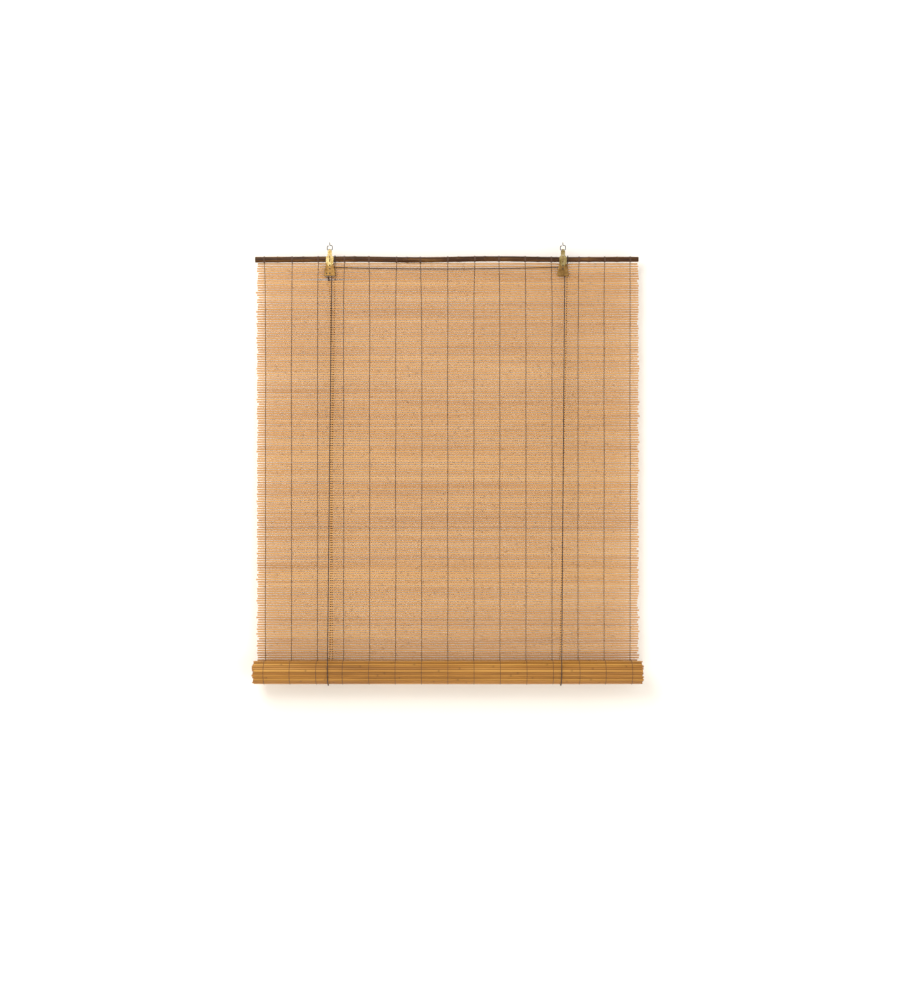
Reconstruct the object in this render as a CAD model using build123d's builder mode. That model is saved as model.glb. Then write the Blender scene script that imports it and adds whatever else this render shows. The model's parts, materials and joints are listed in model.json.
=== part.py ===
from build123d import *

import math
import os

os.makedirs("parts", exist_ok=True)

# A bamboo roll-up blind that hangs from two screw eyes by brass pulleys.
# Millimetres. X runs along the head rod, -Y faces the room, +Z is up.
# The origin is midway between the two screw shanks, where they enter the lintel.

# ---------------------------------------------------------------- driving sizes
station_pitch = 610.8        # between the two screw eyes
mat_width = 1000.0           # trimmed width of the slats
mat_shift = 4.3              # centre of the mat from midway between the eyes
slat_pitch = 6.19
slat_height = 4.5
slat_thick = 1.8
slat_rows = 172              # rows that hang between the head rod and the roll
slat_ragged = 2.5            # how far a slat's left end misses the trimmed edge
slat_kinds = 5               # different lengths, taken in turn from row to row
slat_lean = 0.4              # a long left end's share that is length, not a shift
parted_row = 7               # the pull cords go through the mat above this row
parted_gap = 5.2             # how far the rows are pushed apart there
warp_count = 15
warp_pitch = 68.4
warp_dia = 0.7
soft_gap = 0.1               # thread to slat
clear = 0.3                  # soft or moving piece to its neighbour

rod_dia = 14.4
rod_length = 1006.0
rod_shift = -2.9             # centre of the rod from the centre of the mat
rod_gap = 1.1                # rod to the straps in front of it
rod_z = -36.6
node_rise = 0.8              # how far the cane's joints stand proud
node_half = 5.0              # half the length of a joint's swelling
node_ridge = 1.0             # half the width of its top
rod_chamfer = 0.6
node_places = (-445, -377, -243, -105, 30, 99, 238, 372, 446)
tie_thick = 0.8
tie_width = 3.0

mat_gap = 0.4                # rivet heads to the slats behind them
slat_round = 0.5             # eased edges
roll_dia = 63.6
roll_length = 1010.0
roll_slats = 32              # slats that show round the outside of the roll
roll_step = 2.6              # one layer of mat, slat and thread
roll_groove = 0.9            # depth of the valley between two rolled slats
core_dia = 10.0

cord_dia = 3.0
left_cord_x = -307.5         # lift cords where they pass under the roll
right_cord_x = 298.2
left_anchor_x = -292.3       # rear runs where they are tied to the rod
right_anchor_x = 318.5
cross_sag = 6.0
cord_sweep = 900.0           # largest bend radius of a slack cord

eye_wire = 2.2
eye_width = 15.5
eye_height = 14.0
shank_length = 8.0
shank_tip = 3.0
shank_taper = 17.0           # slope of the point, degrees
eye_end_drop = 1.4           # the loop's open end stays this far under the shank's bend

sheet = 0.8                  # case wall
strap_thick = 1.2
strap_y = -2.5               # front face of the strap
tongue_width = 4.4
tongue_back = 4.4            # the curl's short end, down from the wire
curl_clear = 0.2             # tongue to wire
strap_width = 11.3
plate_width = 19.6
plate_corner = 3.0           # from the strap's own width to the plate's
strap_point = 6.0            # width of the strap's blunt point
strap_round = 2.0            # at the point's corners
plate_spread = 2.0           # height over which the shank spreads to the plate
slot_ease = 1.0              # lashing to its slot, both ways together
lash_rise = 1.1              # slot to the rod's top or bottom
plate_top = -29.5
plate_bottom = -50.5
strap_end = -56.0
case_top = -50.5
case_bottom = -80.5
case_top_width = 22.0
case_bottom_width = 31.0
case_corner = 3.0            # cut off the case's top corners
case_round = 1.2             # at its folds
case_window = -67.0          # the case's side walls stop here
hanger_z = -53.6
rivet_dia = 2.4
rivet_head_dia = 4.4
rivet_head = 0.7
rivet_margin = 1.6           # how much wider than a thick shank its head is, at least
sheave_z = -62.4
groove_radius = 3.2
groove_wall = 0.8            # between two cords on one sheave
groove_clear = 0.25          # groove to cord
rim_radius = 5.8
axle_dia = 3.0
axle_clear = 0.05
cam_z = -74.2
cam_radius = 2.75
cam_offset = 0.25
cam_teeth = 12
tooth_radius = 0.4           # of the round gullet between two teeth
anvil_dia = 4.0

coil_radius = 17.0           # middle of the put-away coil's turns
coil_layers = 3
coil_rows = 5
coil_z = -1117.0
coil_ease = 0.6              # slack over all its rows
coil_back = 3.0              # front of the coil to the middle of the strands
coil_bite = 3.0              # how far the strands run into the coil
tie_gap = 0.5                # the coil's tie clears its curved side by this
pull_y = 18.8                # pull cords behind the mat
pull_left_x = -304.4
pull_right_x = -300.6

# ---------------------------------------------------------------- worked out
rod_r = rod_dia / 2
case_front = strap_y + strap_thick
groove_pitch = cord_dia + groove_wall
left_depth = 2 * groove_pitch + 2 * clear + 2 * sheet
right_depth = left_depth - groove_pitch          # takes one cord
left_rear = case_front + left_depth
right_rear = case_front + right_depth
rod_y = case_front + rod_gap + rod_r
mat_y = left_rear + rivet_head + mat_gap + slat_thick / 2
cord_r = cord_dia / 2
warp_r = warp_dia / 2
wire_r = eye_wire / 2
left_x = -station_pitch / 2
right_x = station_pitch / 2
hang_z = -eye_height + wire_r                    # the wire that the strap hangs on
wrap_r = rod_r + soft_gap + cord_r               # cord bound round the rod
mat_top = rod_z - wrap_r - cord_r - clear
tie_bottom = rod_z - rod_r - soft_gap - tie_thick
front_face = mat_y - slat_thick / 2
rear_face = mat_y + slat_thick / 2
roll_r = roll_dia / 2
roll_y = rear_face - roll_r
roll_z = mat_top - slat_rows * slat_pitch - parted_gap
bight_r = roll_r + clear + cord_r + soft_gap
cord_path_r = groove_radius + cord_r + soft_gap  # cord's middle on a sheave
front_groove = case_front + sheet + clear + groove_pitch / 2
rear_groove = front_groove + groove_pitch
head_cord_end = case_bottom - 0.8                # cords below the case's mouth


def row_z(row):
    """Height of the middle of one hanging slat."""
    parted = parted_gap if row >= parted_row else 0.0
    return mat_top - slat_height / 2 - row * slat_pitch - parted


def warp_x(line):
    """Place of one warp line along the mat."""
    return mat_shift + (line - (warp_count - 1) / 2) * warp_pitch


def roll_point(turn, radius):
    """A point on the roll, a share of a turn from the tangent behind it, going down first."""
    angle = 2 * math.pi * turn
    return (roll_y + radius * math.cos(angle), roll_z - radius * math.sin(angle))


def roll_radius(turn):
    """The outside of the wound mat: one layer is lost over a turn."""
    return roll_r - roll_step * turn


def facing(x):
    """A sketch plane across the blind at x: first axis to the rear, second up."""
    return Plane(origin=(x, 0, 0), x_dir=(0, 1, 0), z_dir=(1, 0, 0))


def upright(y):
    """A sketch plane along the blind at y, seen from the rear: first axis -X, second up."""
    return Plane(origin=(0, y, 0), x_dir=(-1, 0, 0), z_dir=(0, 1, 0))


def bend_radii(points, largest):
    """The largest tangent arc at each corner of a route, up to a limit."""
    radii = []
    for before, corner, after in zip(points, points[1:], points[2:]):
        run_in = Vector(*corner) - Vector(*before)
        run_out = Vector(*after) - Vector(*corner)
        half_turn = math.radians(run_in.get_angle(run_out)) / 2
        shorter = min(run_in.length, run_out.length)
        radii.append(min(0.45 * shorter / math.tan(half_turn), largest))
    return radii


# ---------------------------------------------------------------- screw eyes
# Zinc-plated wire: a pointed shank and a loop with a flat bottom that the strap hangs on.
loop_half = (eye_width - eye_wire) / 2
for side, x in (("left", left_x), ("right", right_x)):
    with BuildPart() as screw_eye:
        with BuildLine() as eye_path:
            FilletPolyline(
                (x, 0, shank_length - shank_tip),
                (x, 0, -wire_r),
                (x + loop_half, 0, -wire_r),
                (x + loop_half, 0, hang_z),
                (x - loop_half, 0, hang_z),
                (x - loop_half, 0, -wire_r - eye_end_drop),
                (x - eye_wire, 0, -wire_r - eye_end_drop),
                radius=[1.6, 3.2, 2.4, 2.4, 2.4],
            )
        with BuildSketch(Plane(origin=(x, 0, shank_length - shank_tip), z_dir=(0, 0, -1))):
            Circle(wire_r)
        sweep()
        with BuildSketch(Plane(origin=(x, 0, shank_length - shank_tip), z_dir=(0, 0, 1))):
            Circle(wire_r)
        extrude(amount=shank_tip, taper=shank_taper)
    screw_eye.part.label = "screw_eye_" + side
    export_step(screw_eye.part, "parts/screw_eye_" + side + ".step")


# ---------------------------------------------------------------- hook straps
# Brass-plated strip: a tongue curled over the eye's wire, a shank, and a wide plate in front
# of the rod that ends in a point. Two slots take the lashing, a hole the case's hanger rivet.
curl_in = wire_r + curl_clear
curl_out = curl_in + strap_thick
shoulder = hang_z - 2.0
lash_top = rod_z + rod_r + lash_rise
lash_bottom = rod_z - rod_r - lash_rise
lash_width = 2.0
lash_thick = 1.0
for side, x in (("left", left_x), ("right", right_x)):
    with BuildPart() as hook_strap:
        with BuildSketch(facing(x - tongue_width / 2)):
            with Locations((0, hang_z)):
                Circle(curl_out)
                Circle(curl_in, mode=Mode.SUBTRACT)
            with Locations((0, hang_z - curl_out / 2)):
                Rectangle(2 * curl_out, curl_out, mode=Mode.SUBTRACT)
            with Locations(((curl_in + curl_out) / 2, hang_z - tongue_back / 2)):
                Rectangle(strap_thick, tongue_back)
            with Locations((-(curl_in + curl_out) / 2, (hang_z + shoulder) / 2 - 0.5)):
                Rectangle(strap_thick, hang_z - shoulder + 1.0)
        extrude(amount=tongue_width)
        with BuildSketch(upright(strap_y)):
            with BuildLine():
                Polyline(
                    (-x - strap_width / 2, shoulder),
                    (-x + strap_width / 2, shoulder),
                    (-x + strap_width / 2, plate_top + plate_spread),
                    (-x + plate_width / 2, plate_top - plate_corner),
                    (-x + plate_width / 2, plate_bottom + plate_corner),
                    (-x + strap_point / 2, strap_end),
                    (-x - strap_point / 2, strap_end),
                    (-x - plate_width / 2, plate_bottom + plate_corner),
                    (-x - plate_width / 2, plate_top - plate_corner),
                    (-x - strap_width / 2, plate_top + plate_spread),
                    close=True,
                )
            make_face()
            with Locations((-x, lash_top), (-x, lash_bottom)):
                Rectangle(lash_width + slot_ease, lash_thick + slot_ease, mode=Mode.SUBTRACT)
            with Locations((-x, hanger_z)):
                Circle(rivet_dia / 2, mode=Mode.SUBTRACT)
        extrude(amount=strap_thick)
        fillet(hook_strap.edges().filter_by(Axis.Y).sort_by(Axis.Z)[:2], strap_round)
    hook_strap.part.label = "hook_strap_" + side
    export_step(hook_strap.part, "parts/hook_strap_" + side + ".step")


# ---------------------------------------------------------------- pulley cases
# Folded brass-plated sheet: two cheeks, joined by side walls low down, open at top and bottom.
# The lock case on the left is deep enough for two cords, the right one takes a single cord.
def pulley_case(name, x, depth, lock):
    """One case; the lock case has holes for the cam's and the anvil's rivets as well."""
    with BuildPart() as case:
        with BuildSketch(upright(case_front)):
            with BuildLine():
                Polyline(
                    (-x - case_top_width / 2 + case_corner, case_top),
                    (-x + case_top_width / 2 - case_corner, case_top),
                    (-x + case_top_width / 2, case_top - case_corner),
                    (-x + case_bottom_width / 2, case_bottom),
                    (-x - case_bottom_width / 2, case_bottom),
                    (-x - case_top_width / 2, case_top - case_corner),
                    close=True,
                )
            make_face()
        extrude(amount=depth)
        fillet(case.edges().filter_by(Axis.Z, tolerance=20), case_round)
        with BuildSketch(upright(case_front + sheet)):
            with BuildLine():
                Polyline(
                    (-x - case_top_width / 2 + sheet, case_top + 1.0),
                    (-x + case_top_width / 2 - sheet, case_top + 1.0),
                    (-x + case_top_width / 2 - sheet, case_top - case_corner),
                    (-x + case_bottom_width / 2 - sheet, case_bottom),
                    (-x + case_bottom_width / 2 - sheet, case_bottom - 1.0),
                    (-x - case_bottom_width / 2 + sheet, case_bottom - 1.0),
                    (-x - case_bottom_width / 2 + sheet, case_bottom),
                    (-x - case_top_width / 2 + sheet, case_top - case_corner),
                    close=True,
                )
            make_face()
            with Locations((-x, (case_top + case_window) / 2)):
                Rectangle(case_bottom_width + 2, case_top - case_window)
        extrude(amount=depth - 2 * sheet, mode=Mode.SUBTRACT)
        with BuildSketch(upright(case_front)):
            with Locations((-x, sheave_z)):
                Circle(axle_dia / 2)
            with Locations((-x, hanger_z)):
                Circle(rivet_dia / 2)
            if lock:
                with Locations((-x, cam_z)):
                    Circle(rivet_dia / 2)
                with Locations((-x + anvil_x, cam_z)):
                    Circle(rivet_dia / 2)
        extrude(amount=depth, mode=Mode.SUBTRACT)
    case.part.label = name
    export_step(case.part, "parts/" + name + ".step")


anvil_x = cord_path_r + cord_r + clear + anvil_dia / 2
pulley_case("pulley_case_left", left_x, left_depth, True)
pulley_case("pulley_case_right", right_x, right_depth, False)


# ---------------------------------------------------------------- rivets
# Turned steel pins, headed over the cheeks. The hanger rivets clamp the strap as well.
def rivet(name, x, z, front, rear, shank_dia, waist_dia=0.0):
    """A pin from the front face to the rear face; a waist is a thicker spacer between cheeks."""
    with BuildPart() as pin:
        with BuildSketch(upright(front)):
            with Locations((-x, z)):
                Circle(shank_dia / 2)
        extrude(amount=rear - front)
        for face, out in ((front, -rivet_head), (rear, rivet_head)):
            with BuildSketch(upright(face)):
                with Locations((-x, z)):
                    Circle(max(rivet_head_dia, shank_dia + rivet_margin) / 2)
            extrude(amount=out)
        if waist_dia:
            with BuildSketch(upright(case_front + sheet + soft_gap)):
                with Locations((-x, z)):
                    Circle(waist_dia / 2)
            extrude(amount=rear - case_front - 2 * sheet - 2 * soft_gap)
    pin.part.label = name
    export_step(pin.part, "parts/" + name + ".step")


rivet("hanger_rivet_left", left_x, hanger_z, strap_y, left_rear, rivet_dia)
rivet("hanger_rivet_right", right_x, hanger_z, strap_y, right_rear, rivet_dia)
rivet("axle_rivet_left", left_x, sheave_z, case_front, left_rear, axle_dia)
rivet("axle_rivet_right", right_x, sheave_z, case_front, right_rear, axle_dia)
rivet("cam_rivet", left_x, cam_z, case_front, left_rear, rivet_dia)
rivet("anvil_rivet", left_x - anvil_x, cam_z, case_front, left_rear, rivet_dia, anvil_dia)


# ---------------------------------------------------------------- sheaves
# Turned brass wheels with a round groove for each cord.
def sheave(name, x, depth, grooves):
    """A wheel between the cheeks with one groove at each given depth."""
    front = case_front + sheet + clear
    rear = case_front + depth - sheet - clear
    with BuildPart() as wheel:
        with BuildSketch(upright(front)):
            with Locations((-x, sheave_z)):
                Circle(rim_radius)
                Circle(axle_dia / 2 + axle_clear, mode=Mode.SUBTRACT)
        extrude(amount=rear - front)
        for groove in grooves:
            with BuildSketch(facing(x)):
                with Locations((groove, sheave_z + cord_path_r)):
                    Circle(cord_r + groove_clear)
                with Locations((groove, sheave_z + rim_radius)):
                    Rectangle(2 * (cord_r + groove_clear), 2 * (rim_radius - cord_path_r))
            revolve(axis=Axis((x, 0, sheave_z), (0, 1, 0)), mode=Mode.SUBTRACT)
    wheel.part.label = name
    export_step(wheel.part, "parts/" + name + ".step")


sheave("sheave_left", left_x, left_depth, (front_groove, rear_groove))
sheave("sheave_right", right_x, right_depth, (front_groove,))


# ---------------------------------------------------------------- lock cam
# A toothed eccentric roller that jams the pull cords against the anvil rivet.
with BuildPart() as lock_cam:
    with BuildSketch(upright(case_front + sheet + clear)):
        with Locations((-left_x + cam_offset, cam_z)):
            Circle(cam_radius)
            with PolarLocations(cam_radius + soft_gap, cam_teeth):
                Circle(tooth_radius, mode=Mode.SUBTRACT)
        with Locations((-left_x, cam_z)):
            Circle(rivet_dia / 2 + axle_clear, mode=Mode.SUBTRACT)
    extrude(amount=left_depth - 2 * sheet - 2 * clear)
lock_cam.part.label = "lock_cam"
export_step(lock_cam.part, "parts/lock_cam.step")


# ---------------------------------------------------------------- head rod
# A dark natural cane with a low swelling at each joint.
rod_x = mat_shift + rod_shift
with BuildPart() as head_rod:
    with BuildSketch(Plane(origin=(0, rod_y, rod_z), x_dir=(1, 0, 0), z_dir=(0, -1, 0))):
        with BuildLine():
            outline = [(rod_x - rod_length / 2, 0), (rod_x - rod_length / 2, rod_r - rod_chamfer)]
            outline.append((rod_x - rod_length / 2 + rod_chamfer, rod_r))
            for place in node_places:
                node_x = mat_shift + place
                outline.append((node_x - node_half, rod_r))
                outline.append((node_x - node_ridge, rod_r + node_rise))
                outline.append((node_x + node_ridge, rod_r + node_rise))
                outline.append((node_x + node_half, rod_r))
            outline.append((rod_x + rod_length / 2 - rod_chamfer, rod_r))
            outline.append((rod_x + rod_length / 2, rod_r - rod_chamfer))
            outline.append((rod_x + rod_length / 2, 0))
            Polyline(*outline, close=True)
        make_face()
    revolve(axis=Axis((0, rod_y, rod_z), (1, 0, 0)))
head_rod.part.label = "head_rod"
export_step(head_rod.part, "parts/head_rod.step")


# ---------------------------------------------------------------- rod ties
# Each warp line is bound round the rod with a few turns of its own thread.
with BuildPart() as rod_ties:
    with BuildSketch(*[facing(warp_x(line) - tie_width / 2) for line in range(warp_count)]):
        with Locations((rod_y, rod_z)):
            Circle(rod_r + soft_gap + tie_thick)
            Circle(rod_r + soft_gap, mode=Mode.SUBTRACT)
    extrude(amount=tie_width)
rod_ties.part.label = "rod_ties"
export_step(rod_ties.part, "parts/rod_ties.step")


# ---------------------------------------------------------------- rod lashings
# A band of wire round the rod and through the strap's two slots carries the rod.
for side, x in (("left", left_x), ("right", right_x)):
    with BuildPart() as lashing:
        band_front = strap_y - soft_gap - lash_thick
        band_rear = rod_y + rod_r + soft_gap + lash_thick
        band_height = lash_top - lash_bottom + lash_thick
        with BuildSketch(facing(x - lash_width / 2)):
            with Locations(((band_front + band_rear) / 2, (lash_top + lash_bottom) / 2)):
                Rectangle(band_rear - band_front, band_height)
        extrude(amount=lash_width)
        rear_edges = lashing.edges().filter_by(Axis.X).sort_by(Axis.Y)[-2:]
        fillet(rear_edges, band_height / 2 - 0.01)
        front_edges = lashing.edges().filter_by(Axis.X).sort_by(Axis.Y)[:2]
        fillet(front_edges, lash_thick + 0.2)
        offset(amount=-lash_thick, openings=lashing.faces().filter_by(Axis.X))
    lashing.part.label = "rod_lashing_" + side
    export_step(lashing.part, "parts/rod_lashing_" + side + ".step")


# ---------------------------------------------------------------- hanging slats
# Split bamboo, one strip a row, edges eased. The strips' ends are a little uneven: they
# come in a few lengths, so the left ends miss by one amount and the right ends by another.
with BuildPart() as hanging_slats:
    for kind in range(slat_kinds):
        miss = slat_ragged * (2 * kind / (slat_kinds - 1) - 1)
        rows = range(kind, slat_rows, slat_kinds)
        with BuildSketch(facing(mat_shift - mat_width / 2 - miss)):
            with Locations(*[(mat_y, row_z(row)) for row in rows]):
                RectangleRounded(slat_thick, slat_height, slat_round)
        extrude(amount=mat_width + miss * slat_lean)
hanging_slats.part.label = "hanging_slats"
export_step(hanging_slats.part, "parts/hanging_slats.step")


# ---------------------------------------------------------------- warp threads
# Two strands to a line, one down each face of the mat, from the rod's binding to the roll.
with BuildPart() as warp_threads:
    strand_places = [
        (warp_x(line), strand_y)
        for line in range(warp_count)
        for strand_y in (front_face - soft_gap - warp_r, rear_face + soft_gap + warp_r)
    ]
    with BuildSketch(Plane.XY.offset(tie_bottom - soft_gap)):
        with Locations(*strand_places):
            Circle(warp_r)
    extrude(amount=row_z(slat_rows - 1) - slat_height / 2 - tie_bottom + soft_gap)
warp_threads.part.label = "warp_threads"
export_step(warp_threads.part, "parts/warp_threads.step")


# ---------------------------------------------------------------- rolled mat
# The rest of the mat, wound up from its bottom edge: its turns are one solid.
with BuildPart() as rolled_mat:
    with BuildSketch(facing(mat_shift - roll_length / 2)):
        with BuildLine():
            outline = []
            valley = (1 - slat_height / slat_pitch) / 2
            for slat in range(roll_slats):
                for share, depth in ((valley, 0), (1 - valley, 0), (1, roll_groove)):
                    turn = (slat + share) / roll_slats
                    outline.append(roll_point(turn, roll_radius(turn) - depth))
            Polyline(*outline, close=True)
        make_face()
        with Locations((roll_y, roll_z)):
            Circle(core_dia / 2 + clear, mode=Mode.SUBTRACT)
    extrude(amount=roll_length)
rolled_mat.part.label = "rolled_mat"
export_step(rolled_mat.part, "parts/rolled_mat.step")


# ---------------------------------------------------------------- bottom rod
# A round stick at the mat's bottom edge, now the core of the roll.
with BuildPart() as bottom_rod:
    with BuildSketch(facing(mat_shift - mat_width / 2)):
        with Locations((roll_y, roll_z)):
            Circle(core_dia / 2)
    extrude(amount=mat_width)
    chamfer(bottom_rod.edges(), rod_chamfer)
bottom_rod.part.label = "bottom_rod"
export_step(bottom_rod.part, "parts/bottom_rod.step")


# ---------------------------------------------------------------- threads on the roll
# The warp threads go on round the outside of the roll.
thread_start = 0.01
thread_end = 0.95
thread_steps = 36
thread_outer = []
thread_inner = []
for step in range(thread_steps + 1):
    turn = thread_start + (thread_end - thread_start) * step / thread_steps
    reach = roll_radius(turn) + soft_gap
    thread_inner.append(roll_point(turn, reach))
    thread_outer.append(roll_point(turn, reach + warp_dia))
thread_places = [facing(warp_x(line) - warp_r) for line in range(warp_count)]
with BuildPart() as roll_threads:
    with BuildSketch(*thread_places):
        with BuildLine():
            Polyline(*(thread_outer + thread_inner[::-1]), close=True)
        make_face()
    extrude(amount=warp_dia)
roll_threads.part.label = "roll_threads"
export_step(roll_threads.part, "parts/roll_threads.step")


# ---------------------------------------------------------------- cords
def cord(name, points, radii):
    """A tube of straight runs and tangent arcs through the route's points."""
    with BuildPart() as tube:
        with BuildLine() as route:
            if radii:
                FilletPolyline(*points, radius=radii)
                print(name, "bend radii", [round(r, 1) for r in radii])
            else:
                Polyline(*points)
        start = route.line @ 0
        heading = route.line % 0
        with BuildSketch(Plane(origin=start, z_dir=heading)):
            Circle(cord_r)
        sweep()
    tube.part.label = name
    export_step(tube.part, "parts/" + name + ".step")
    length = sum(edge.length for edge in route.edges())
    share = tube.part.volume / (math.pi * cord_r ** 2 * length)
    print(name, "length", round(length, 1), "volume share", round(share, 4))


# Lift cords: each goes down behind the mat from the rod, under the roll and up the front.
bight_front = roll_y - bight_r
bight_rear = roll_y + bight_r
for side, x, top_x, roll_x, anchor_x in (
    ("left", left_x, left_x + cord_path_r, left_cord_x, left_anchor_x),
    ("right", right_x, right_x + cord_path_r, right_cord_x, right_anchor_x),
):
    cord("lift_cord_front_" + side,
         [(top_x, front_groove, head_cord_end - clear), (roll_x, bight_front, roll_z + clear)],
         [])
    cord("lift_cord_rear_" + side,
         [(anchor_x, rod_y + wrap_r, rod_z - clear), (roll_x, bight_rear, roll_z + clear)],
         [])
    with BuildPart() as bight:
        with BuildSketch(Plane(origin=(roll_x, bight_front, roll_z), z_dir=(0, 0, 1))):
            Circle(cord_r)
        revolve(axis=Axis((roll_x, roll_y, roll_z), (1, 0, 0)), revolution_arc=180)
    bight.part.label = "lift_cord_bight_" + side
    export_step(bight.part, "parts/lift_cord_bight_" + side + ".step")
    with BuildPart() as anchor:
        with BuildSketch(Plane(origin=(anchor_x, rod_y + wrap_r, rod_z), z_dir=(0, 0, 1))):
            Circle(cord_r)
        revolve(axis=Axis((anchor_x, rod_y, rod_z), (1, 0, 0)), revolution_arc=360)
    anchor.part.label = "cord_wrap_" + side
    export_step(anchor.part, "parts/cord_wrap_" + side + ".step")

# The left lift cord goes over the lock case's sheave in the front groove.
top_z = sheave_z + cord_path_r
cord("lift_cord_head_left",
     [(left_x + cord_path_r, front_groove, head_cord_end),
      (left_x + cord_path_r, front_groove, top_z),
      (left_x - cord_path_r, front_groove, top_z),
      (left_x - cord_path_r, front_groove, head_cord_end)],
     [cord_path_r - 0.001, cord_path_r - 0.001])

# The right lift cord goes over its sheave, along the head and down through the lock case.
cord("cross_cord",
     [(right_x + cord_path_r, front_groove, head_cord_end),
      (right_x + cord_path_r, front_groove, top_z),
      (110.0, (2 * front_groove + rear_groove) / 3, top_z - cross_sag),
      (-120.0, (front_groove + 2 * rear_groove) / 3, top_z - cross_sag + 0.4),
      (left_x - cord_path_r, rear_groove, top_z),
      (left_x - cord_path_r, rear_groove, head_cord_end)],
     [cord_path_r, cord_sweep, cord_sweep, cord_path_r])

# The two pull strands go through the mat between two parted rows and hang behind it.
gate_z = (row_z(parted_row - 1) + row_z(parted_row)) / 2
coil_x = (pull_left_x + pull_right_x) / 2
coil_in = coil_radius - coil_layers * cord_dia / 2
coil_out = coil_radius + coil_layers * cord_dia / 2
coil_depth = coil_rows * cord_dia + coil_ease
coil_y = pull_y - coil_back
for name, groove, gate_x, strand_x in (
    ("pull_strand_left", front_groove, left_x - cord_path_r, pull_left_x),
    ("pull_strand_right", rear_groove, left_x - cord_path_r + 4.2, pull_right_x),
):
    start_x = left_x - cord_path_r
    route_points = [
        (start_x, groove, head_cord_end),
        (start_x, groove, head_cord_end - 2.5),
        ((start_x + 2 * gate_x) / 3, groove + 1.2, head_cord_end - 7.0),
        (gate_x, mat_y - 3.0, gate_z + 0.6),
        (gate_x + 0.8, mat_y + 3.6, gate_z - 0.7),
        (gate_x + 1.6, pull_y - 0.8, gate_z - 9.0),
        (strand_x - 0.4, pull_y + 0.1, gate_z - 40.0),
        (strand_x, pull_y, -560.0),
        (strand_x, pull_y + 0.2, coil_z + coil_out - coil_bite),
    ]
    cord(name, route_points, bend_radii(route_points, cord_sweep))

# ---------------------------------------------------------------- put-away coil
# The rest of the pull cord is wound in a neat coil behind the roll and tied at the top.
with BuildPart() as pull_coil:
    with BuildSketch(facing(coil_x)):
        with Locations((coil_y + coil_depth / 2, coil_z + coil_radius)):
            RectangleRounded(coil_depth, coil_out - coil_in, cord_r)
    revolve(axis=Axis((coil_x, 0, coil_z), (0, 1, 0)))
pull_coil.part.label = "pull_coil"
export_step(pull_coil.part, "parts/pull_coil.step")

with BuildPart() as coil_tie:
    with BuildSketch(facing(coil_x - tie_width)):
        with Locations((coil_y + coil_depth / 2, coil_z - coil_radius)):
            section_width = coil_depth + 2 * tie_gap
            section_height = coil_out - coil_in + 2 * tie_gap
            RectangleRounded(section_width + 2 * tie_thick, section_height + 2 * tie_thick, 2.0)
            RectangleRounded(section_width, section_height, 1.2, mode=Mode.SUBTRACT)
    extrude(amount=2 * tie_width)
coil_tie.part.label = "coil_tie"
export_step(coil_tie.part, "parts/coil_tie.step")
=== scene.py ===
import json
import math

import bmesh
import bpy
from mathutils import Matrix, Vector, noise


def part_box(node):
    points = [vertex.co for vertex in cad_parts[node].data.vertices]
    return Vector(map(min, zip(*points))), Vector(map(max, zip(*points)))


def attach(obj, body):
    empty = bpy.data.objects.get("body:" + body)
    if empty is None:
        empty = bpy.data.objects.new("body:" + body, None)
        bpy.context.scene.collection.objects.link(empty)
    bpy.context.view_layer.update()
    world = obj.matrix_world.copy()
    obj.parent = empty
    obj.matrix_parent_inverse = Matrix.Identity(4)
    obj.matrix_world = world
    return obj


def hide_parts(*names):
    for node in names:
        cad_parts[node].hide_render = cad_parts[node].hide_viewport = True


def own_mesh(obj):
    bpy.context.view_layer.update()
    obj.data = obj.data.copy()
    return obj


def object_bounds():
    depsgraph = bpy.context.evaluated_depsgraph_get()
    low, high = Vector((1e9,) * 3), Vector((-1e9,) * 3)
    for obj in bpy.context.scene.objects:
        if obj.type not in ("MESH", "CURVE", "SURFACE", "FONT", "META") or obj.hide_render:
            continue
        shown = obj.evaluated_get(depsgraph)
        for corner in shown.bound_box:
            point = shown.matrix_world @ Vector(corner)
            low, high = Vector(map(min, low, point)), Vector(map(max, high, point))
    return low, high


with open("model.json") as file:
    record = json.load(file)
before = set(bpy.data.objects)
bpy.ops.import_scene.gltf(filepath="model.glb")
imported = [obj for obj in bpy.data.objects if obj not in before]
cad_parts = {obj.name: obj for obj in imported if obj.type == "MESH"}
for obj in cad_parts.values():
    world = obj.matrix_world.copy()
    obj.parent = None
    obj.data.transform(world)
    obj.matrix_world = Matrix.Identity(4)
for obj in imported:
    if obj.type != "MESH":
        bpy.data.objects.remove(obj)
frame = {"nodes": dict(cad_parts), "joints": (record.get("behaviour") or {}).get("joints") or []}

cad_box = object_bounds()
bpy.ops.object.select_all(action="DESELECT")
mm = 0.001


# ------------------------------------------------------------------ room, light and camera
# A pale wall close behind the blind and a pale floor below it, joined by a smooth sweep.
# The wall is clear from behind. One broad soft light comes from the upper left, a weaker
# one from the lower right, and the sky is white.
room_wall_y = 0.045
room_floor_z = -2.25
wall_width = 9.0
wall_height = 4.6
floor_depth = 8.0
sweep_radius = 0.5


def node_material(name):
    """A new material with its shader, its node maker and its link maker."""
    material = bpy.data.materials.new(name)
    material.use_nodes = True
    tree = material.node_tree
    shader = tree.nodes["Principled BSDF"]

    def node(kind, **values):
        made = tree.nodes.new(kind)
        for key, value in values.items():
            if key in made.inputs:
                made.inputs[key].default_value = value
            else:
                setattr(made, key, value)
        return made

    def link(source, output, target, socket):
        tree.links.new(source.outputs[output], target.inputs[socket])

    return material, shader, node, link


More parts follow.
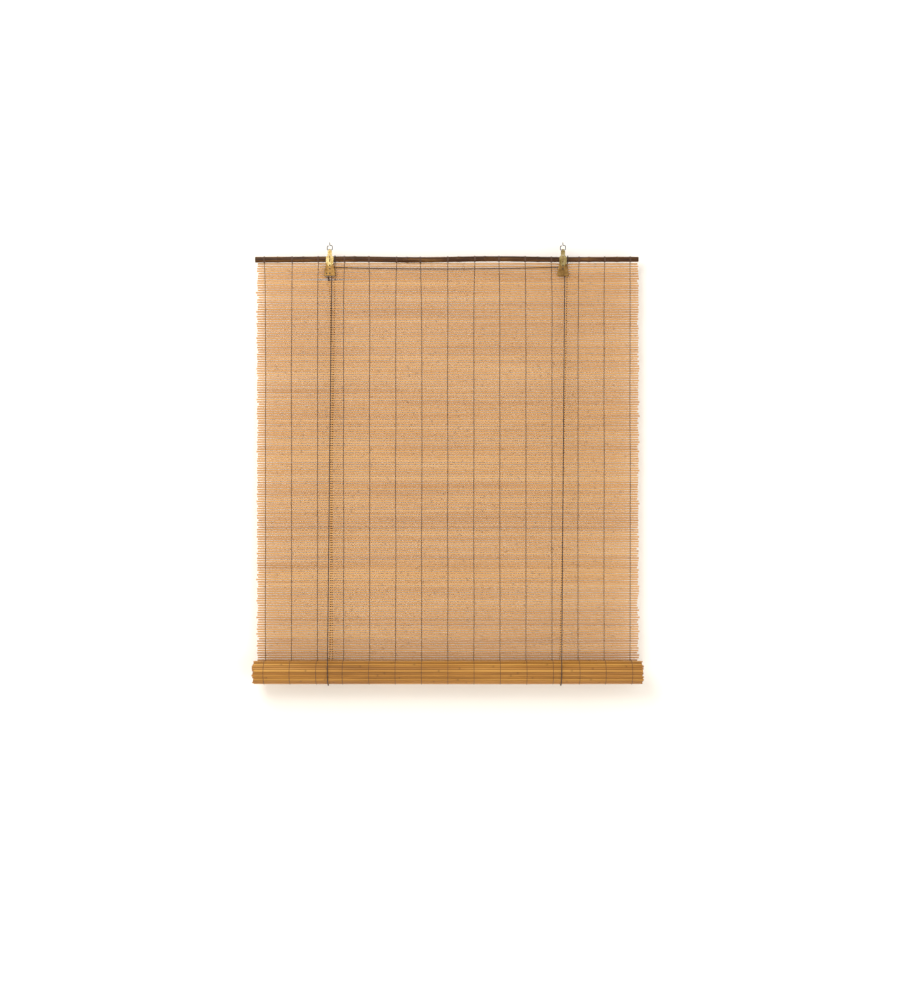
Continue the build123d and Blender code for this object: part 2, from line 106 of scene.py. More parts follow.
def ramp(node_maker, stops):
    """A colour ramp with the given places and colours."""
    made = node_maker("ShaderNodeValToRGB")
    elements = made.color_ramp.elements
    while len(elements) < len(stops):
        elements.new(0.5)
    for element, (place, colour) in zip(elements, stops):
        element.position = place
        element.color = (*colour, 1.0)
    return made


def give(piece, *materials):
    """Put these materials in a piece's slots, in this order."""
    piece.data.materials.clear()
    for material in materials:
        piece.data.materials.append(material)


bpy.ops.mesh.primitive_plane_add(
    size=1.0, location=(0, room_wall_y, 0), rotation=(math.pi / 2, 0, 0))
backdrop = bpy.context.object
backdrop.name = "backdrop"
backdrop.scale = (wall_width, wall_height, 1.0)
backdrop.location.z = room_floor_z + wall_height / 2
bpy.ops.object.transform_apply(location=True, rotation=True, scale=True)
bpy.ops.object.mode_set(mode="EDIT")
bpy.ops.mesh.select_all(action="DESELECT")
bpy.ops.object.mode_set(mode="OBJECT")
for edge in backdrop.data.edges:
    ends = [backdrop.data.vertices[i].co.z for i in edge.vertices]
    edge.select = max(ends) < room_floor_z + 0.01
bpy.ops.object.mode_set(mode="EDIT")
bpy.ops.mesh.select_mode(type="EDGE")
bpy.ops.mesh.extrude_region_move(TRANSFORM_OT_translate={"value": (0, -floor_depth, 0)})
bpy.ops.object.mode_set(mode="OBJECT")
fold = backdrop.modifiers.new("fold", "BEVEL")
fold.width = sweep_radius
fold.segments = 12
bpy.ops.object.modifier_apply(modifier="fold")
bpy.ops.object.shade_smooth()
room_paint, shader, node, link = node_material("white_wall_paint")
grain = node("ShaderNodeTexNoise", Scale=60.0, Detail=3.0)
paint_bump = node("ShaderNodeBump", Strength=0.04, Distance=0.002)
coordinates = node("ShaderNodeTexCoord")
link(coordinates, "Object", grain, "Vector")
link(grain, "Fac", paint_bump, "Height")
link(paint_bump, "Normal", shader, "Normal")
shader.inputs["Base Color"].default_value = (0.945, 0.905, 0.84, 1.0)
shader.inputs["Roughness"].default_value = 0.9
rear_side = node("ShaderNodeNewGeometry")
clear_rear = node("ShaderNodeBsdfTransparent")
one_sided = node("ShaderNodeMixShader")
link(rear_side, "Backfacing", one_sided, "Fac")
room_paint.node_tree.links.new(shader.outputs["BSDF"], one_sided.inputs[1])
room_paint.node_tree.links.new(clear_rear.outputs["BSDF"], one_sided.inputs[2])
link(one_sided, "Shader", room_paint.node_tree.nodes["Material Output"], "Surface")
give(backdrop, room_paint)


def soft_light(name, place, aim, width, power, colour):
    """A square area light that looks at a point."""
    lamp = bpy.data.lights.new(name, "AREA")
    lamp.size = width
    lamp.energy = power
    lamp.color = colour
    holder = bpy.data.objects.new(name, lamp)
    holder.location = place
    holder.rotation_euler = (Vector(aim) - Vector(place)).to_track_quat("-Z", "Y").to_euler()
    bpy.context.collection.objects.link(holder)


middle = [(low + high) / 2 for low, high in zip(*cad_box)]
soft_light("key_light", (-1.5, -3.0, 1.3), middle, 2.0, 84.0, (1.0, 0.99, 0.975))
soft_light("fill_light", (1.9, -2.8, -2.1), middle, 2.8, 50.0, (0.98, 0.985, 1.0))
sky = bpy.data.worlds.new("sky")
sky.use_nodes = True
sky.node_tree.nodes["Background"].inputs["Color"].default_value = (1.0, 1.0, 1.0, 1.0)
sky.node_tree.nodes["Background"].inputs["Strength"].default_value = 0.8
bpy.context.scene.world = sky
bpy.context.scene.view_settings.view_transform = "Standard"

eye_line = bpy.data.cameras.new("camera")
eye_line.lens = 56.2
eye_line.sensor_width = 36.0
eye_line.clip_end = 50.0
camera = bpy.data.objects.new("camera", eye_line)
camera.location = (0.0096, -4.09, -0.668)
camera.rotation_euler = (math.pi / 2, 0, 0)
bpy.context.collection.objects.link(camera)
bpy.context.scene.camera = camera


# ------------------------------------------------------------------ screw eyes
# Bent from zinc-plated wire. The shank is pointed and has a fine rolled thread, which stands
# a little proud of the wire; the loop below it stays smooth.
def metal(name, light, dark, roughness, spots):
    """A plated or turned metal with faint smudges and fine scratches along the piece."""
    made, shader, node, link = node_material(name)
    where = node("ShaderNodeTexCoord")
    smudge = node("ShaderNodeTexNoise", Scale=spots, Detail=4.0, Roughness=0.6)
    tone = ramp(node, [(0.35, dark), (0.62, light)])
    gloss = node("ShaderNodeMapRange")
    gloss.inputs["To Min"].default_value = roughness - 0.08
    gloss.inputs["To Max"].default_value = roughness + 0.14
    stretch = node("ShaderNodeMapping")
    stretch.inputs["Scale"].default_value = (900.0, 900.0, 60.0)
    scratch = node("ShaderNodeTexNoise", Scale=4.0, Detail=2.0)
    relief = node("ShaderNodeBump", Strength=0.12, Distance=0.0002)
    link(where, "Object", smudge, "Vector")
    link(smudge, "Fac", tone, "Fac")
    link(smudge, "Fac", gloss, "Value")
    link(where, "Object", stretch, "Vector")
    link(stretch, "Vector", scratch, "Vector")
    link(scratch, "Fac", relief, "Height")
    link(tone, "Color", shader, "Base Color")
    link(gloss, "Result", shader, "Roughness")
    link(relief, "Normal", shader, "Normal")
    shader.inputs["Metallic"].default_value = 1.0
    return made


def curve_piece(name, lines, radius, sides, cyclic=False):
    """Round threads or wires along lists of points, made a mesh; one material per line set."""
    route = bpy.data.curves.new(name, "CURVE")
    route.dimensions = "3D"
    route.bevel_depth = radius
    route.bevel_resolution = (sides - 4) // 2
    route.use_fill_caps = True
    for points, colour in lines:
        spline = route.splines.new("POLY")
        spline.points.add(len(points) - 1)
        for point, place in zip(spline.points, points):
            point.co = (*place, 1.0)
        spline.use_cyclic_u = cyclic
        spline.material_index = colour
    piece = bpy.data.objects.new(name, route)
    bpy.context.collection.objects.link(piece)
    bpy.ops.object.select_all(action="DESELECT")
    piece.select_set(True)
    bpy.context.view_layer.objects.active = piece
    for index in range(max(colour for points, colour in lines) + 1):
        route.materials.append(None)
    bpy.ops.object.convert(target="MESH")
    made = bpy.context.object
    bpy.ops.object.shade_smooth()
    return made


zinc = metal("zinc_plate", (0.075, 0.082, 0.098), (0.03, 0.033, 0.042), 0.34, 700.0)
eye_nodes = ("screw_eye_left", "screw_eye_right")
thread_pitch = 0.9 * mm
thread_r = 0.2 * mm
thread_start = 0.9 * mm
thread_end_gap = 1.5 * mm
point_height = 3.0 * mm
steps = 12
for eye_name in eye_nodes:
    give(frame["nodes"][eye_name], zinc)
    low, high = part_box(eye_name)
    eye_x = (low[0] + high[0]) / 2
    shank_r = (high[1] - low[1]) / 2
    turns = int((high[2] - thread_end_gap) / thread_pitch)
    helix = []
    for step in range(turns * steps + 1):
        angle = 2 * math.pi * step / steps
        rise = thread_start + thread_pitch * step / steps
        taper = min(1.0, (high[2] - rise) / point_height + 0.12)
        reach = shank_r * max(taper, 0.1) - 0.05 * mm
        helix.append((eye_x + reach * math.cos(angle), reach * math.sin(angle), rise))
    thread = curve_piece(eye_name.replace("eye", "thread"), [(helix, 0)], thread_r, 4)
    give(thread, zinc)
    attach(thread, "screw_eyes")


# ------------------------------------------------------------------ hook straps and pulleys
# Stamped and folded from brass-plated strip, with turned brass wheels on steel rivets. The
# straps are polished; the cases are duller, and their brass is painted darker all over than
# the straps' brass, as painted shade.
strap_brass = metal("strap_brass", (0.50, 0.385, 0.17), (0.27, 0.175, 0.045), 0.24, 80.0)
# The cases' brass is a darker copy of the straps' brass: painted shade.
case_brass_painted_shade = metal("case_brass_painted_shade", (0.33, 0.185, 0.06), (0.13, 0.065, 0.016), 0.34, 80.0)
wheel_brass = metal("wheel_brass", (0.75, 0.56, 0.27), (0.50, 0.34, 0.15), 0.3, 500.0)
pin_steel = metal("pin_steel", (0.13, 0.09, 0.05), (0.05, 0.035, 0.02), 0.45, 900.0)
roller_steel = metal("roller_steel", (0.55, 0.53, 0.5), (0.33, 0.31, 0.29), 0.38, 900.0)
finishes = {
    "hook_strap_left": strap_brass,
    "hook_strap_right": strap_brass,
    "pulley_case_left": case_brass_painted_shade,
    "pulley_case_right": case_brass_painted_shade,
    "sheave_left": wheel_brass,
    "sheave_right": wheel_brass,
    "lock_cam": roller_steel,
}
for rivet_name in ("hanger_rivet_left", "hanger_rivet_right", "axle_rivet_left",
                   "axle_rivet_right", "cam_rivet", "anvil_rivet"):
    finishes[rivet_name] = pin_steel
for part_name, finish in finishes.items():
    give(frame["nodes"][part_name], finish)


# ------------------------------------------------------------------ head rod
# A dark natural cane: never quite straight, swollen at each joint with a fine ring, and with
# long paler streaks where the skin has worn.
rod_low, rod_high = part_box("head_rod")
rod_y = (rod_low[1] + rod_high[1]) / 2
rod_z = (rod_low[2] + rod_high[2]) / 2
rod_r = 7.2 * mm
cane_rises = ((-510, -0.9), (-240, 0.9), (-75, -1.2), (110, 1.7), (310, -0.3), (515, 0.1))
rod_left = rod_low[0]
rod_long = rod_high[0] - rod_left
rod_mid = (rod_low[0] + rod_high[0]) / 2
cane_joints = (-442.1, -374.1, -240.1, -102.1, 32.9, 101.9, 240.9, 374.9, 448.9)


def cane_bend(x):
    """How far the cane's middle wanders from its straight line, backwards and up."""
    for (left, low), (right, high) in zip(cane_rises, cane_rises[1:]):
        if x <= right * mm:
            break
    share = min(max((x / mm - left) / (right - left), 0.0), 1.0)
    lift = low + (high - low) * share * share * (3 - 2 * share)
    lift += 0.25 * noise.noise(Vector((x * 9.0, 0.0, 8.7)))
    sway = 0.55 * noise.noise(Vector((x * 5.0, 3.1, 0.0)))
    return sway * mm, lift * mm


def cane_radius(x, angle):
    """The cane's radius: a slow taper, swollen and ringed at its joints."""
    radius = rod_r * (1.0 - 0.07 * (x - rod_mid) / rod_long * 2)
    radius *= 0.985 + 0.04 * noise.noise(Vector((x * 11.0, 0.6, 0.2)))
    radius += 0.12 * mm * noise.noise(Vector((x * 60.0, math.cos(angle), math.sin(angle))))
    for joint in cane_joints:
        away = (x - joint * mm) / mm
        radius += 0.75 * mm * math.exp(-((away / 3.6) ** 2))
        radius -= 0.55 * mm * math.exp(-(((away - 1.6) / 0.7) ** 2))
    return radius


bpy.ops.mesh.primitive_cylinder_add(
    vertices=28, radius=rod_r, depth=rod_long - 1.0 * mm,
    location=(rod_mid, rod_y, rod_z), rotation=(0, math.pi / 2, 0), end_fill_type="NGON")
cane = bpy.context.object
cane.name = "cane_rod"
bpy.ops.object.transform_apply(location=True, rotation=True, scale=True)
shape = bmesh.new()
shape.from_mesh(cane.data)
cane_cuts = 150
cut_places = [rod_left + rod_long * step / cane_cuts for step in range(1, cane_cuts)]
for joint in cane_joints:
    for away in (-4.5, -3.0, -1.8, -0.6, 0.5, 1.2, 1.8, 2.6, 4.0):
        cut_places.append((joint + away) * mm)
for cut in sorted(cut_places):
    bmesh.ops.bisect_plane(
        shape, geom=shape.verts[:] + shape.edges[:] + shape.faces[:],
        plane_co=(cut, 0, 0), plane_no=(1, 0, 0))
for vertex in shape.verts:
    across = Vector((0, vertex.co.y - rod_y, vertex.co.z - rod_z))
    if across.length < rod_r * 0.5:
        continue
    angle = math.atan2(across.z, across.y)
    sway, lift = cane_bend(vertex.co.x)
    radius = cane_radius(vertex.co.x, angle)
    vertex.co.y = rod_y + sway + radius * math.cos(angle)
    vertex.co.z = rod_z + lift + radius * math.sin(angle)
ends = [face for face in shape.faces if abs(face.normal.x) > 0.9]
bmesh.ops.inset_region(shape, faces=ends, thickness=0.7 * mm, depth=0.35 * mm)
shape.to_mesh(cane.data)
shape.free()
bpy.ops.object.shade_smooth_by_angle(angle=math.radians(50))

cane_skin, shader, node, link = node_material("dark_cane_skin")
where = node("ShaderNodeTexCoord")
along = node("ShaderNodeMapping")
along.inputs["Scale"].default_value = (9.0, 260.0, 260.0)
streak = node("ShaderNodeTexNoise", Scale=1.0, Detail=6.0, Roughness=0.62)
broad = node("ShaderNodeTexNoise", Scale=14.0, Detail=3.0)
skin_tone = ramp(node, [(0.28, (0.018, 0.006, 0.0015)), (0.50, (0.066, 0.024, 0.004)),
                        (0.66, (0.17, 0.078, 0.018)), (0.80, (0.30, 0.17, 0.055))])
patch_tone = ramp(node, [(0.38, (0.55, 0.50, 0.46)), (0.66, (1.0, 1.0, 1.0))])
blend_tone = node("ShaderNodeMix", data_type="RGBA", blend_type="MULTIPLY")
blend_tone.inputs["Factor"].default_value = 0.75
skin_bump = node("ShaderNodeBump", Strength=0.35, Distance=0.0006)
skin_gloss = node("ShaderNodeMapRange")
skin_gloss.inputs["To Min"].default_value = 0.30
skin_gloss.inputs["To Max"].default_value = 0.55
link(where, "Object", along, "Vector")
link(along, "Vector", streak, "Vector")
link(where, "Object", broad, "Vector")
link(streak, "Fac", skin_tone, "Fac")
link(broad, "Fac", patch_tone, "Fac")
cane_skin.node_tree.links.new(skin_tone.outputs["Color"], blend_tone.inputs[6])
cane_skin.node_tree.links.new(patch_tone.outputs["Color"], blend_tone.inputs[7])
cane_skin.node_tree.links.new(blend_tone.outputs[2], shader.inputs["Base Color"])
link(streak, "Fac", skin_bump, "Height")
link(skin_bump, "Normal", shader, "Normal")
link(streak, "Fac", skin_gloss, "Value")
link(skin_gloss, "Result", shader, "Roughness")
shader.inputs["Specular IOR Level"].default_value = 0.2
give(cane, cane_skin)
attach(cane, "blind")
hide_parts("head_rod")


# ------------------------------------------------------------------ hanging slats
# Split bamboo, one strip a row, knotted in by the warp threads. Each strip is its own width
# and shade, a little twisted and wavy, with dark joint marks, and its ends are trimmed by eye.
slats_low, slats_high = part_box("hanging_slats")
roll_low, roll_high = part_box("rolled_mat")
mat_y = (slats_low[1] + slats_high[1]) / 2
mat_mid = (slats_low[0] + slats_high[0]) / 2
mat_width = 1000.0 * mm
mat_top = slats_high[2]
slat_height = 4.5 * mm
slat_thick = slats_high[1] - slats_low[1]
slat_bevel = 0.55 * mm
slat_trim = 3.4 * mm
slat_rows = 172
slat_cuts = 31
gate_row = 7
gate_gap = 5.2 * mm
slat_pitch = (mat_top - slats_low[2] - slat_height - gate_gap) / (slat_rows - 1)
top_rise = 1.7 * mm
gate_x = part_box("sheave_left")[0][0] + 3.2 * mm
wrap_places = [sum(corner[0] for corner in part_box("cord_wrap_" + side)) / 2
               for side in ("left", "right")]
warp_count = 15
warp_pitch = 68.4 * mm


def chance(number, kind):
    """A fixed random number from -1 to 1 for a numbered piece."""
    return math.sin(number * 127.1 + kind * 311.7) * 43758.5453 % 1.0 * 2 - 1


def slat_place(row, x):
    """The middle of a hanging slat at x: its own sag, bow and the mat's gentle ripple."""
    parted = gate_gap * max(0.0, 1 - abs(x - gate_x) / (150 * mm)) ** 2
    even = gate_gap * (row + 0.5) / slat_rows
    side = 1 if row >= gate_row else -1
    near = max(0.0, 1 - abs(row + 0.5 - gate_row) / 7.0)
    push = side * near * near * parted * 0.5
    under_wrap = min(abs(x - wrap_x) for wrap_x in wrap_places) / (14 * mm)
    rise = top_rise * math.exp(-row / 5.0) * min(1.0, under_wrap * under_wrap)
    z = mat_top - slat_height / 2 - row * slat_pitch - even - push + rise
    z += 0.42 * mm * noise.noise(Vector((x * 5.0, row * 3.7, 1.5)))
    z += 0.9 * mm * noise.noise(Vector((x * 1.6, row * 0.06, 7.0)))
    y = mat_y + 0.18 * mm * noise.noise(Vector((x * 8.0, row * 5.3, 4.2)))
    y += 0.7 * mm * noise.noise(Vector((x * 2.4, row * 0.045, 2.0)))
    return y, z


def slat_end(row, side, reach):
    """How far a slat's end stands past the trimmed edge."""
    return reach * chance(row, 3 + side) ** 3 + 0.35 * reach * chance(row, 11 + side)


bpy.ops.mesh.primitive_cube_add(size=1.0, location=(mat_mid, mat_y, mat_top - slat_height / 2))
slat = bpy.context.object
slat.name = "bamboo_slats"
slat.scale = (mat_width, slat_thick, slat_height)
bpy.ops.object.transform_apply(location=True, rotation=True, scale=True)
long_edges = [edge for edge in slat.data.edges
              if abs(slat.data.vertices[edge.vertices[0]].co.x
                     - slat.data.vertices[edge.vertices[1]].co.x) > 0.5]
for item in list(slat.data.vertices) + list(slat.data.edges) + list(slat.data.polygons):
    item.select = False
for edge in long_edges:
    edge.select = True
bpy.ops.object.mode_set(mode="EDIT")
bpy.ops.mesh.select_mode(type="EDGE")
bpy.ops.mesh.bevel(offset=slat_bevel, segments=1)
for step in range(1, slat_cuts + 1):
    bpy.ops.mesh.select_all(action="SELECT")
    cut = mat_mid - mat_width / 2 + mat_width * step / (slat_cuts + 1)
    bpy.ops.mesh.bisect(plane_co=(cut, 0, 0), plane_no=(1, 0, 0))
bpy.ops.object.mode_set(mode="OBJECT")
one_slat = slat.data.copy()

repeat = slat.modifiers.new("rows", "ARRAY")
repeat.count = slat_rows
repeat.use_relative_offset = False
repeat.use_constant_offset = True
repeat.constant_offset_displace = (0, 0, -slat_pitch)
bpy.ops.object.modifier_apply(modifier="rows")


def slat_tone(row):
    """A slat's shade from 0 to 1: its own, and that of the cane that it was split from."""
    bundle = noise.noise(Vector((row * 0.09, 2.7, 6.1)))
    return 0.5 + 0.24 * chance(row, 5) + 0.2 * bundle


tone_layer = slat.data.attributes.new("slat_tone", "FLOAT", "POINT")
seed_layer = slat.data.attributes.new("slat_seed", "FLOAT", "POINT")
left_edge = mat_mid - mat_width / 2
for vertex in slat.data.vertices:
    row = round((mat_top - slat_height / 2 - vertex.co.z) / slat_pitch)
    up = vertex.co.z - (mat_top - slat_height / 2 - row * slat_pitch)
    out = vertex.co.y - mat_y
    share = (vertex.co.x - left_edge) / mat_width
    left_miss = slat_end(row, 0, slat_trim)
    right_miss = slat_end(row, 1, slat_trim)
    x = left_edge - left_miss + (mat_width + left_miss + right_miss) * share
    y, z = slat_place(row, x)
    high = 0.93 + 0.08 * chance(row, 1) + 0.04 * noise.noise(Vector((x * 4, row * 9.1, 0)))
    twist = 0.16 * chance(row, 2) + 0.12 * noise.noise(Vector((x * 3.0, row * 2.3, 5.0)))
    up *= high
    out *= 0.9
    vertex.co = (x, y + out * math.cos(twist) - up * math.sin(twist),
                 z + up * math.cos(twist) + out * math.sin(twist))
    tone_layer.data[vertex.index].value = slat_tone(row)
    seed_layer.data[vertex.index].value = 0.5 + 0.5 * chance(row, 6)
bpy.ops.object.shade_smooth_by_angle(angle=math.radians(35))


def bamboo(name, deep, mid, pale, mark):
    """Split bamboo: a shade for each strip, long fibres, and dark joints across the strip."""
    made, shader, node, link = node_material(name)
    shader.inputs["Specular IOR Level"].default_value = 0.4
    where = node("ShaderNodeTexCoord")
    tone = node("ShaderNodeAttribute", attribute_name="slat_tone")
    seed = node("ShaderNodeAttribute", attribute_name="slat_seed")
    along = node("ShaderNodeMapping")
    along.inputs["Scale"].default_value = (7.0, 900.0, 900.0)
    fibre = node("ShaderNodeTexNoise", Scale=1.0, Detail=5.0, Roughness=0.6)
    cloud_place = node("ShaderNodeMapping")
    cloud_place.inputs["Scale"].default_value = (3.0, 40.0, 40.0)
    cloud = node("ShaderNodeTexNoise", Scale=1.0, Detail=3.0)
    sum_tone = node("ShaderNodeMath", operation="MULTIPLY_ADD")
    sum_tone.inputs[1].default_value = 0.5
    sum_fibre = node("ShaderNodeMath", operation="MULTIPLY_ADD")
    sum_fibre.inputs[1].default_value = 0.42
    sum_cloud = node("ShaderNodeMath", operation="MULTIPLY_ADD")
    sum_cloud.inputs[1].default_value = 0.5
    sum_cloud.inputs[2].default_value = -0.22
    colour = ramp(node, [(0.12, deep), (0.48, mid), (0.86, pale)])
    split = node("ShaderNodeSeparateXYZ")
    shift = node("ShaderNodeMath", operation="MULTIPLY_ADD")
    shift.inputs[1].default_value = 2.9
    shift.inputs[2].default_value = 11.0
    slide = node("ShaderNodeMath", operation="ADD")
    repeat = node("ShaderNodeMath", operation="FRACT")
    joint = ramp(node, [(0.0, (0.5, 0.5, 0.5)), (0.006, (0.4, 0.4, 0.4)), (0.013, (0, 0, 0)),
                        (0.985, (0, 0, 0)), (1.0, (0.2, 0.2, 0.2))])
    stained = node("ShaderNodeMix", data_type="RGBA")
    relief = node("ShaderNodeBump", Strength=0.3, Distance=0.0004)
    gloss = node("ShaderNodeMapRange")
    gloss.inputs["To Min"].default_value = 0.34
    gloss.inputs["To Max"].default_value = 0.62
    link(where, "Object", along, "Vector")
    link(along, "Vector", fibre, "Vector")
    link(where, "Object", cloud_place, "Vector")
    link(cloud_place, "Vector", cloud, "Vector")
    made.node_tree.links.new(cloud.outputs["Fac"], sum_cloud.inputs[0])
    made.node_tree.links.new(fibre.outputs["Fac"], sum_fibre.inputs[0])
    made.node_tree.links.new(sum_cloud.outputs[0], sum_fibre.inputs[2])
    made.node_tree.links.new(tone.outputs["Fac"], sum_tone.inputs[0])
    made.node_tree.links.new(sum_fibre.outputs[0], sum_tone.inputs[2])
    link(sum_tone, 0, colour, "Fac")
    link(where, "Object", split, "Vector")
    made.node_tree.links.new(split.outputs["X"], shift.inputs[0])
    made.node_tree.links.new(shift.outputs[0], slide.inputs[0])
    made.node_tree.links.new(seed.outputs["Fac"], slide.inputs[1])
    made.node_tree.links.new(slide.outputs[0], repeat.inputs[0])
    link(repeat, 0, joint, "Fac")
    made.node_tree.links.new(joint.outputs["Color"], stained.inputs[0])
    made.node_tree.links.new(colour.outputs["Color"], stained.inputs[6])
    stained.inputs[7].default_value = (*mark, 1.0)
    made.node_tree.links.new(stained.outputs[2], shader.inputs["Base Color"])
    link(fibre, "Fac", relief, "Height")
    link(relief, "Normal", shader, "Normal")
    link(fibre, "Fac", gloss, "Value")
    link(gloss, "Result", shader, "Roughness")
    return made


slat_bamboo = bamboo("split_bamboo", (0.36, 0.150, 0.034), (0.52, 0.255, 0.074),
                     (0.65, 0.37, 0.135), (0.17, 0.07, 0.022))
give(slat, slat_bamboo)


def joint_called(name):
    """A joint of the frame."""
    return [joint for joint in frame["joints"] if joint["name"] == name][0]


def winds_up(piece):
    """Give a hanging piece its own copy of its mesh."""
    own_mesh(piece)


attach(slat, "blind")
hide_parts("hanging_slats")
winds_up(slat)


# ------------------------------------------------------------------ warp threads
# Two dark brown strands to a line, twined: they cross between every two slats, so each slat
# has one strand over its face and one behind it. The lines wander a little.
warp_r = 0.7 * mm


def warp_place(line, z):
    """Where a warp line runs at a height."""
    middle_x = mat_mid + (line - (warp_count - 1) / 2) * warp_pitch
    depth = mat_top - z
    wander = 1.1 * mm * noise.noise(Vector((line * 5.1, depth * 5.0, 0.0)))
    stray = 3.2 * mm * chance(line, 21) * math.exp(-depth / (55 * mm))
    return middle_x + wander + stray


def warp_strand(line, side):
    """One strand of a line from the first slat to the last."""
    points = []
    for row in range(slat_rows):
        x = warp_place(line, mat_top - row * slat_pitch)
        y, z = slat_place(row, x)
        face = side if row % 2 else -side
        reach = slat_thick * 0.45 + warp_r
        lean = 0.28 * mm * face
        points.append((x - lean, y + face * reach * 0.86, z + 2.1 * mm))
        points.append((x, y + face * reach * 1.04, z))
        points.append((x + lean, y + face * reach * 0.86, z - 2.1 * mm))
    return points


warp_lines = []
for line in range(warp_count):
    for side in (-1, 1):
        warp_lines.append((warp_strand(line, side), 0))
warp = curve_piece("twined_warp", warp_lines, warp_r, 4)


def twine(name, dark, light, scale):
    """Spun cotton: fine ply marks across the thread and a soft, dry surface."""
    made, shader, node, link = node_material(name)
    where = node("ShaderNodeTexCoord")
    fuzz = node("ShaderNodeTexNoise", Scale=scale, Detail=4.0, Roughness=0.7)
    tone = ramp(node, [(0.3, dark), (0.7, light)])
    relief = node("ShaderNodeBump", Strength=0.5, Distance=0.0003)
    link(where, "Object", fuzz, "Vector")
    link(fuzz, "Fac", tone, "Fac")
    link(tone, "Color", shader, "Base Color")
    link(fuzz, "Fac", relief, "Height")
    link(relief, "Normal", shader, "Normal")
    shader.inputs["Roughness"].default_value = 0.85
    shader.inputs["Sheen Weight"].default_value = 0.25
    shader.inputs["Sheen Roughness"].default_value = 0.5
    return made


warp_cotton = twine("warp_cotton", (0.040, 0.014, 0.004), (0.115, 0.048, 0.017), 1500.0)
give(warp, warp_cotton)
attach(warp, "blind")
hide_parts("warp_threads")
winds_up(warp)


# ------------------------------------------------------------------ rod bindings
# Above the first slat each line's strands come together, take four turns round the cane and
# end in a small knot in front.
binding_lines = []
for line in range(warp_count):
    x = warp_place(line, mat_top)
    start_y, start_z = slat_place(0, x)
    sway, lift = cane_bend(x)
    turns = 4
    steps = 20
    for side in (-1, 1):
        top_y = start_y + side * (slat_thick * 0.45 + warp_r)
        reach = rod_r + warp_r + 0.35 * mm
        seat = math.atan2(-1.0, (top_y - rod_y) / reach)
        binding_lines.append(([
            (x, top_y, start_z + 1.4 * mm),
            (x + 0.2 * mm * side, (top_y * 2 + start_y) / 3, start_z + 3.2 * mm),
            (x, rod_y + sway + reach * math.cos(seat) * 0.9, rod_z + lift - reach * 0.93),
        ], 0))
    wraps = []
    for step in range(turns * steps + 1):
        angle = -math.pi / 2 + 2 * math.pi * step / steps
        along = x + (step / steps - turns / 2) * 0.82 * mm
        bulge = cane_radius(along, angle) + warp_r * 0.8
        wraps.append((along, rod_y + sway + bulge * math.cos(angle),
                      rod_z + lift + bulge * math.sin(angle)))
    binding_lines.append((wraps, 0))
    knot = []
    for step in range(25):
        angle = 2 * math.pi * step / 12
        knot.append((x + 1.0 * mm * math.cos(angle),
                     rod_y + sway - rod_r - (0.75 + 0.25 * math.sin(2 * angle)) * mm,
                     rod_z + lift - (3.0 - 0.9 * math.sin(angle)) * mm))
    binding_lines.append((knot, 0))
bindings = curve_piece("rod_bindings", binding_lines, warp_r, 6)
give(bindings, warp_cotton)
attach(bindings, "blind")
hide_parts("rod_ties")


# ------------------------------------------------------------------ the roll
# The lower part of the mat, wound up face outwards from its bottom rod. Its strips lie in a
# spiral, and their ends, cut by eye, stand in and out at both ends of the roll.
roll_centre_y, roll_centre_z = joint_called("roll_turn")["pos_m"][1:]
roll_r = slats_high[1] - roll_centre_y
roll_step = 2.6 * mm
core_r = 5.0 * mm
roll_width = roll_high[0] - roll_low[0]
roll_trim = 3.0 * mm
roll_seat = 0.35 * mm
first_rolled = 500
finely_cut = 34
threaded_slats = 31
one_slat.transform(Matrix.Translation((-mat_mid, -mat_y, -(mat_top - slat_height / 2))))


def spiral(turn):
    """Distance of a rolled slat's middle from the roll's axis."""
    return roll_r - slat_thick / 2 - roll_step * turn


roll_turns = []
turn = slat_pitch / 2 / (2 * math.pi * roll_r)
while spiral(turn) > core_r + slat_thick:
    roll_turns.append(turn)
    turn += slat_pitch / (2 * math.pi * spiral(turn))


def roll_dent(turn, x):
    """The roll isn't a true cylinder: it swells and sinks a little along its length."""
    return 0.5 * mm * noise.noise(Vector((x * 2.2, turn * 6.28, 3.0)))


